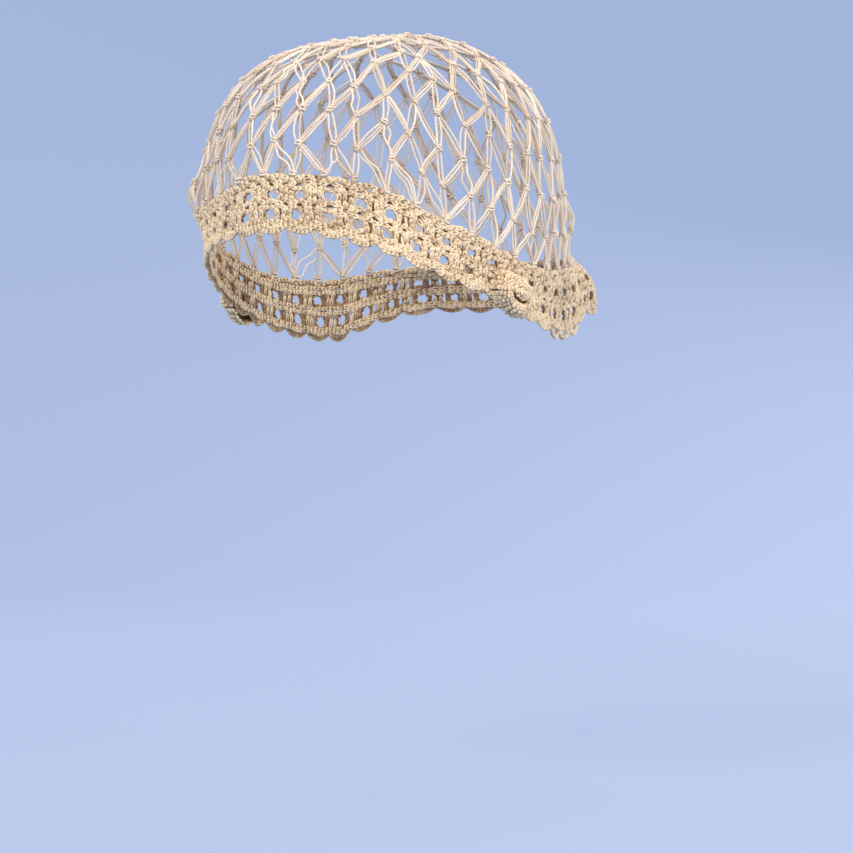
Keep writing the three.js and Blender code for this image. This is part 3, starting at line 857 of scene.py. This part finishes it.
def joining_arches(threads, knots, rng):
    """Arches along the band's top, from one of the net's first knots to the next, over two short stitches."""
    order = np.sort(knots)
    following = np.append(order[1:], order[0] + 1)
    share = np.linspace(0.02, 0.98, 7)
    front, hidden = ARCH_OFF
    for start, end in zip(order, following):
        rise = (ARCH["crown"] - ARCH["foot"]) * np.sin(np.pi * share) ** 0.55 * rng.uniform(*ARCH["uneven"])
        turns = start + (end - start) * share
        braid(threads, turns, ARCH["foot"] + rise, front, rng, closed=False)
        if not is_loose(start):
            braid(threads, turns, ARCH["foot"] + rise, hidden, rng, closed=False, facing=-1)
    columns(threads, order, KNOT_STITCH["low"], KNOT_STITCH["high"], rng, loops=2)
    for place in SHORT_STITCH["places"]:
        turns = order + (following - order) * place
        tight = turns[~is_loose(turns)]
        columns(threads, tight, SHORT_STITCH["low"], SHORT_STITCH["high"], rng, loops=1, outward=0.15)


def shells(threads, rng):
    """Along the edge each repeat has a shell of two nested arcs of braid, or one open loop in loose lace."""
    low, high = SHELL_LEVELS
    turns = repeat_turn(np.arange(REPEATS))
    depth = (high - low) * Fabric(turns, high).level_length
    way = np.linspace(-1, 1, 8)
    curve = np.cos(way * math.pi / 2) ** 0.75
    for turn, deep, loose in zip(turns, depth, is_loose(turns)):
        level_length = Fabric(turn, high).level_length
        uneven = rng.uniform(*SHELL_UNEVEN["loose" if loose else "tight"])
        outer = turn + SHELL_HALF["outer"] * way / REPEATS
        drop = deep * (0.06 + 0.9 * curve) * uneven
        braid(threads, outer, high - drop / level_length, SHELL_OFF["outer"], rng, closed=False)
        if loose:
            continue
        inner = turn + SHELL_HALF["inner"] * way[1:-1] / REPEATS
        drop = deep * 0.5 * curve[1:-1]
        braid(threads, inner, high - drop / level_length, SHELL_OFF["inner"], rng, closed=False)
        drop = 0.8 * drop
        braid(threads, inner, high - drop / level_length, SHELL_OFF["hidden"], rng, closed=False, facing=-1)


def rose(threads, side, rng):
    """Two rings of puffed lobes round a coiled bud, on the band over one ear."""
    place = Fabric(turn_at(np.mod(side * math.radians(ROSE_ANGLE), TAU)), ROSE_LEVEL)

    def laid(radius, way, rise, wide=1, high=1, below=0):
        radius, way, rise = np.broadcast_arrays(radius, way, rise)
        across = side * ROSE_STRETCH[0] * wide * radius * np.cos(way)
        upward = ROSE_STRETCH[1] * high * radius * np.sin(way) - below
        return place.place(across, upward, BAND_HALF_THICKNESS + ROSE_GAP + rise)

    for ring in ROSE_RINGS:
        rose_ring(threads, ring, side, laid, rng)
    share = np.linspace(0, 1, 110)
    # Painted shade: the floor coil is painted dark by its low depth
    threads.add(laid(*coil(ROSE_FLOOR, share, share))[None], rng, depth=ROSE_FLOOR["depth"])
    share = np.sqrt(np.linspace(0, 1, ROSE_BUD["loops"]))
    radius, way, rise = coil(ROSE_BUD, share, share**2.5)
    middle = laid(radius, way, rise, **BUD_STRETCH)
    out = laid(radius + ROSE_BUD["splay"] * share, way, rise + 1, **BUD_STRETCH) - middle
    chain(threads, middle, out, rng, width=ROSE_STITCH)
    knot = place.turns + side * ROSE_KNOT["aside"] / place.turn_length
    add_knots(threads, knot[None], np.array([ROSE_KNOT["level"]]), rng)


def rose_ring(threads, ring, side, laid, rng):
    """Puffed lobes in upright stitches, whose loops are staggered from one stitch to the next."""
    count = ring["ribs"]
    loops = ring["loops"]
    inner, outer = ring["radii"]
    low, high = ring["rises"]
    part = (np.arange(count)[:, None] + 0.5 + rng.normal(0, 0.1, (count, 1))) / count
    way = np.radians(ring["from"] + (ring["to"] - ring["from"]) * part)
    puff = np.abs(np.sin(np.pi * ring["lobes"] * part)) ** 0.55
    share = np.linspace(0, 1, loops + 1) + np.zeros((count, 1))
    staggered = 0.5 * (np.arange(count)[:, None] % 2) - 0.25 + rng.normal(0, 0.14, (count, loops - 1))
    share[:, 1:-1] += staggered / loops
    reach = outer * (0.86 + 0.14 * puff)
    radius = inner + (reach - inner) * (1 - np.cos(np.pi * share)) / 2
    arch = ring["arch"] * (0.62 + 0.38 * puff) * np.sin(np.pi * share) ** 0.75
    rise = low + (high - low) * share**1.4 + arch + rng.normal(0, 0.08, arch.shape)
    middle = laid(radius, way, rise)
    out = side * np.cross(np.gradient(middle, axis=1), laid(radius, way + 0.05, rise) - middle)
    chain(threads, middle, out, rng, width=ROSE_STITCH)


def coil(shape, share, fall):
    """Radius, angle and rise along a coil that widens from its middle and falls from its top to its foot."""
    radius = COIL_START + (shape["radius"] - COIL_START) * share
    return radius, share * shape["turns"] * TAU, shape["top"] - (shape["top"] - shape["foot"]) * fall


def thread_finish(kind):
    """Plied cotton: colour from strand to strand and in soft patches, painted shade carried in the tone, and
    the plies' grooves in the bump and as painted shade in the colour.
    """
    finish = bpy.data.materials.new(f"{kind} cotton")
    finish.use_nodes = True
    nodes = finish.node_tree.nodes
    links = finish.node_tree.links
    shader = nodes["Principled BSDF"]
    set_inputs(shader, {"Roughness": COTTON[kind]["roughness"], "Specular IOR Level": 0.3})
    set_inputs(shader, {"Sheen Weight": 0.25, "Sheen Roughness": 0.45, "Sheen Tint": (1, 0.96, 0.86, 1)})

    def node(kind, **values):
        made = nodes.new(kind)
        for key, value in values.items():
            setattr(made, key, value)
        return made

    def math_node(operation, first, second):
        made = node("ShaderNodeMath", operation=operation)
        for socket, value in zip(made.inputs, (first, second)):
            if isinstance(value, (int, float)):
                socket.default_value = value
            else:
                links.new(value, socket)
        return made.outputs[0]

    def noise(scale, detail):
        made = node("ShaderNodeTexNoise")
        set_inputs(made, {"Scale": scale, "Detail": detail})
        links.new(place, made.inputs["Vector"])
        return made.outputs["Fac"]

    place = node("ShaderNodeTexCoord").outputs["Object"]
    tone_and_shade = node("ShaderNodeAttribute", attribute_name=TONE_NAME).outputs["Fac"]
    patches = noise(38, 3)
    fibres = noise(2600, 2)
    uv = node("ShaderNodeUVMap", uv_map=UV_NAME)
    split = node("ShaderNodeSeparateXYZ")
    links.new(uv.outputs[0], split.inputs[0])
    plies = math_node("MULTIPLY", math_node("ADD", split.outputs["X"], split.outputs["Y"]), 3 * TAU)
    ridge = math_node("ABSOLUTE", math_node("SINE", math_node("MULTIPLY", plies, 0.5), 0), 0)
    patch = math_node("MULTIPLY", math_node("SUBTRACT", patches, 0.5), 0.9)
    blend = math_node("ADD", tone_and_shade, patch)
    # Painted shade: the colour goes darker in the plies' grooves
    groove_shade = math_node("MULTIPLY", math_node("SUBTRACT", ridge, 0.64), 0.15)
    shade = node("ShaderNodeMix", data_type="RGBA")
    set_inputs(shade, {"A": (*COTTON[kind]["dark"], 1), "B": (*COTTON[kind]["light"], 1)})
    links.new(math_node("ADD", blend, groove_shade), shade.inputs["Factor"])
    links.new(shade.outputs["Result"], shader.inputs["Base Color"])
    bump = node("ShaderNodeBump")
    set_inputs(bump, {"Strength": 0.4, "Distance": 0.00012})
    fuzz = math_node("MULTIPLY", fibres, 0.6)
    links.new(math_node("ADD", ridge, fuzz), bump.inputs["Height"])
    links.new(bump.outputs[0], shader.inputs["Normal"])
    return finish


def add_piece(threads, name, finish, slot, *nodes):
    """One piece of the cap, which stands for the CAD nodes named."""
    piece = threads.build(name, finish)
    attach(piece, "root")
    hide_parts(*nodes)


def build_net(finish):
    """The net, and the turns of its first row of knots."""
    rng = np.random.default_rng(SEEDS["net"])
    rows = net_rows(rng)
    links = Threads(NET_RADIUS)
    add_links(links, net_links(rows), rng)
    start_ring(links, rng)
    first_knots = rows[0][0]
    gathered_strands(links, first_knots, rng)
    add_piece(links, "net_links", finish, "net_thread", "crown_net")
    knots = Threads(NET_RADIUS)
    turns, levels = (np.concatenate(parts) for parts in zip(*rows))
    add_knots(knots, turns, levels, rng)
    add_piece(knots, "net_knots", finish, "net_thread", "crown_net")
    return first_knots


def build_band(finish, knots):
    rng = np.random.default_rng(SEEDS["band"])
    arches = Threads(LACE_RADIUS)
    joining_arches(arches, knots, rng)
    add_piece(arches, "band_joining_arches", finish, "band_thread", "eyelet_band")
    for name, lines in BRAIDS.items():
        stitches = Threads(LACE_RADIUS)
        for level, pulled in lines:
            round_of_braid(stitches, level, pulled, rng)
        add_piece(stitches, f"band_{name}_braids", finish, "band_thread", "eyelet_band")
    for name, level in EYELET_LEVELS.items():
        stitches = Threads(LACE_RADIUS)
        eyelet_round(stitches, level, EYELET_SHIFT[name], rng)
        add_piece(stitches, f"band_{name}_eyelets", finish, "band_thread", "eyelet_band")


def build_edging(finish):
    fans = Threads(LACE_RADIUS)
    shells(fans, np.random.default_rng(SEEDS["edging"]))
    add_piece(fans, "edging_shells", finish, "edging_thread", "shell_edging")


def build_roses(finish):
    for name, side in (("left", 1), ("right", -1)):
        threads = Threads(LACE_RADIUS)
        rose(threads, side, np.random.default_rng(SEEDS[f"rose_{name}"]))
        add_piece(threads, f"rose_{name}", finish, "rosette_thread", f"rosette_{name}")


def backdrop_finish():
    """Matt paper with a little light of its own, so that it stays even."""
    finish = bpy.data.materials.new("backdrop paper")
    finish.use_nodes = True
    shader = finish.node_tree.nodes["Principled BSDF"]
    set_inputs(shader, {"Base Color": (*BACKDROP_COLOR, 1), "Roughness": 0.9, "Specular IOR Level": 0.1})
    set_inputs(shader, {"Emission Color": (*BACKDROP_GLOW, 1), "Emission Strength": 0.5})
    return finish


def build_stage():
    """A round seamless backdrop: a pale floor that curves up into a wall on every side."""
    profile = [(0, 0), (FLOOR_RADIUS, 0)]
    for step in range(1, BEND_STEPS + 1):
        angle = step / BEND_STEPS * math.pi / 2
        profile.append((FLOOR_RADIUS + BEND_RADIUS * math.sin(angle), BEND_RADIUS * (1 - math.cos(angle))))
    profile.append((FLOOR_RADIUS + BEND_RADIUS, WALL_TOP))
    mesh = bpy.data.meshes.new("backdrop")
    points = []
    for radius, height in profile:
        for angle in full_circle(SECTORS):
            points.append((radius * math.cos(angle), radius * math.sin(angle), FLOOR_HEIGHT + height))
    faces = []
    for low in range(0, len(points) - SECTORS, SECTORS):
        high = low + SECTORS
        for sector in range(SECTORS):
            other = (sector + 1) % SECTORS
            faces.append((low + sector, high + sector, high + other, low + other))
    mesh.from_pydata(points, [], faces)
    mesh.polygons.foreach_set("use_smooth", [True] * len(faces))
    mesh.materials.append(backdrop_finish())
    backdrop = placed("backdrop", mesh)


def add_light(name, place, size, power, color):
    """A round soft lamp that faces the cap."""
    light = bpy.data.lights.new(name, "AREA")
    light.shape = "DISK"
    light.size = size
    light.energy = power
    light.color = color
    lamp = placed(name, light)
    lamp.location = place
    ahead = np.array(LIGHT_AIM) - np.array(place)
    tilt = math.atan2(math.hypot(ahead[0], ahead[1]), -ahead[2])
    lamp.rotation_euler = (tilt, 0, math.atan2(ahead[1], ahead[0]) - math.pi / 2)


def build_lights():
    for name, lamp in LAMPS.items():
        add_light(name, **lamp)
    world = bpy.data.worlds.new("studio")
    bpy.context.scene.world = world
    world.use_nodes = True
    set_inputs(world.node_tree.nodes["Background"], {"Color": (0.9, 0.94, 1, 1), "Strength": 0.3})


def build_camera():
    angle = math.radians(VIEW_ANGLE)
    ahead = np.array([-math.sin(angle), math.cos(angle), 0])
    right = np.array([math.cos(angle), math.sin(angle), 0])
    data = bpy.data.cameras.new("camera")
    data.sensor_width = SENSOR_WIDTH
    data.lens = SENSOR_WIDTH * VIEW_DISTANCE / (PIXEL_AT_OBJECT * IMAGE_WIDTH)
    camera = placed("camera", data)
    camera.location = -ahead * VIEW_DISTANCE + right * VIEW_ASIDE + np.array([0, 0, VIEW_HEIGHT])
    camera.rotation_euler = (math.pi / 2, 0, angle)
    bpy.context.scene.camera = camera


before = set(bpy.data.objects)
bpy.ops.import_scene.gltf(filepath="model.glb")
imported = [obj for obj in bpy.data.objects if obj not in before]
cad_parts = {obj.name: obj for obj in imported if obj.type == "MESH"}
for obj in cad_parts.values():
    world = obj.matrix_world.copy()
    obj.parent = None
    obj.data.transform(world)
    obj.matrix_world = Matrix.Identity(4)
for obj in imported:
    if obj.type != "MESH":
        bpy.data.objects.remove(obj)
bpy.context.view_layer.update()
build_camera()
build_stage()
build_lights()
first_knots = build_net(thread_finish("net"))
build_band(thread_finish("band"), first_knots)
build_edging(thread_finish("edging"))
build_roses(thread_finish("rose"))
bpy.context.scene.view_settings.view_transform = "Standard"
